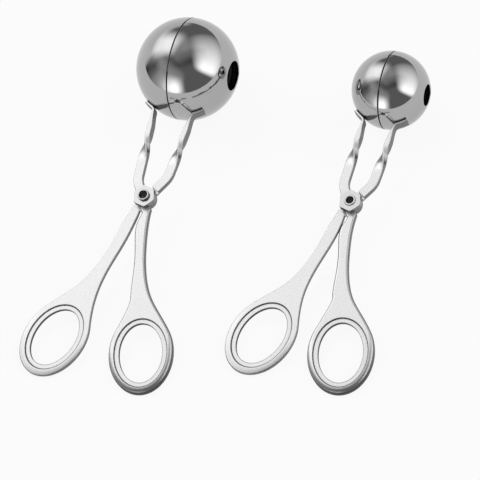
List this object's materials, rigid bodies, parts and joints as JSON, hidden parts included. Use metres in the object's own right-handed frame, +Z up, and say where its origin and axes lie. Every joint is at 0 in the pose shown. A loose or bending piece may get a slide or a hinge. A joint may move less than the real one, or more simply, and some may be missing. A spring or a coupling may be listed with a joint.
{
  "type": "meatball tongs",
  "caption": "Scissor tongs with two hollow hemispherical cups that close to a ball, a screw pivot, twisted arms and oval finger loops, shown as a large and a small size side by side.",
  "frame": {"origin": "on the surface that the tongs lie on, below the middle of the whole set's box", "axes": "+Y from the finger loops to the balls along the large tongs, +X from the large tongs to the small one, +Z up from the surface that both lie on"},
  "size_m": [0.1524, 0.1716, 0.045],
  "materials": {
    "polished_cup": "mirror-polished stainless steel",
    "satin_arm": "tumbled, pale satin stainless steel",
    "pivot_hardware": "turned bright stainless steel"
  },
  "bodies": {
    "large_lower_side": {"large_lower_arm": "satin_arm", "large_right_cup": "polished_cup", "large_pivot_screw": "pivot_hardware", "large_pivot_nut": "pivot_hardware"},
    "large_upper_side": {"large_upper_arm": "satin_arm", "large_left_cup": "polished_cup"},
    "small_lower_side": {"small_lower_arm": "satin_arm", "small_right_cup": "polished_cup", "small_pivot_screw": "pivot_hardware", "small_pivot_nut": "pivot_hardware"},
    "small_upper_side": {"small_upper_arm": "satin_arm", "small_left_cup": "polished_cup"}
  },
  "joints": [
    {"name": "large_pivot", "type": "hinge", "parent": "large_lower_side", "child": "large_upper_side", "pos_m": [-0.04057, -0.0006, 0.01347], "axis": [0, -0.1435, 0.9896], "range_deg": [0, 60]},
    {"name": "small_pivot", "type": "hinge", "parent": "small_lower_side", "child": "small_upper_side", "pos_m": [0.04783, 0.0144, 0.01064], "axis": [-0.0046, -0.1139, 0.9935], "range_deg": [0, 60]},
    {"name": "small_lift", "type": "slide", "parent": "large_lower_side", "child": "small_lower_side", "axis": [0, 0, 1], "range_m": [0, 0.15]}
  ]
}
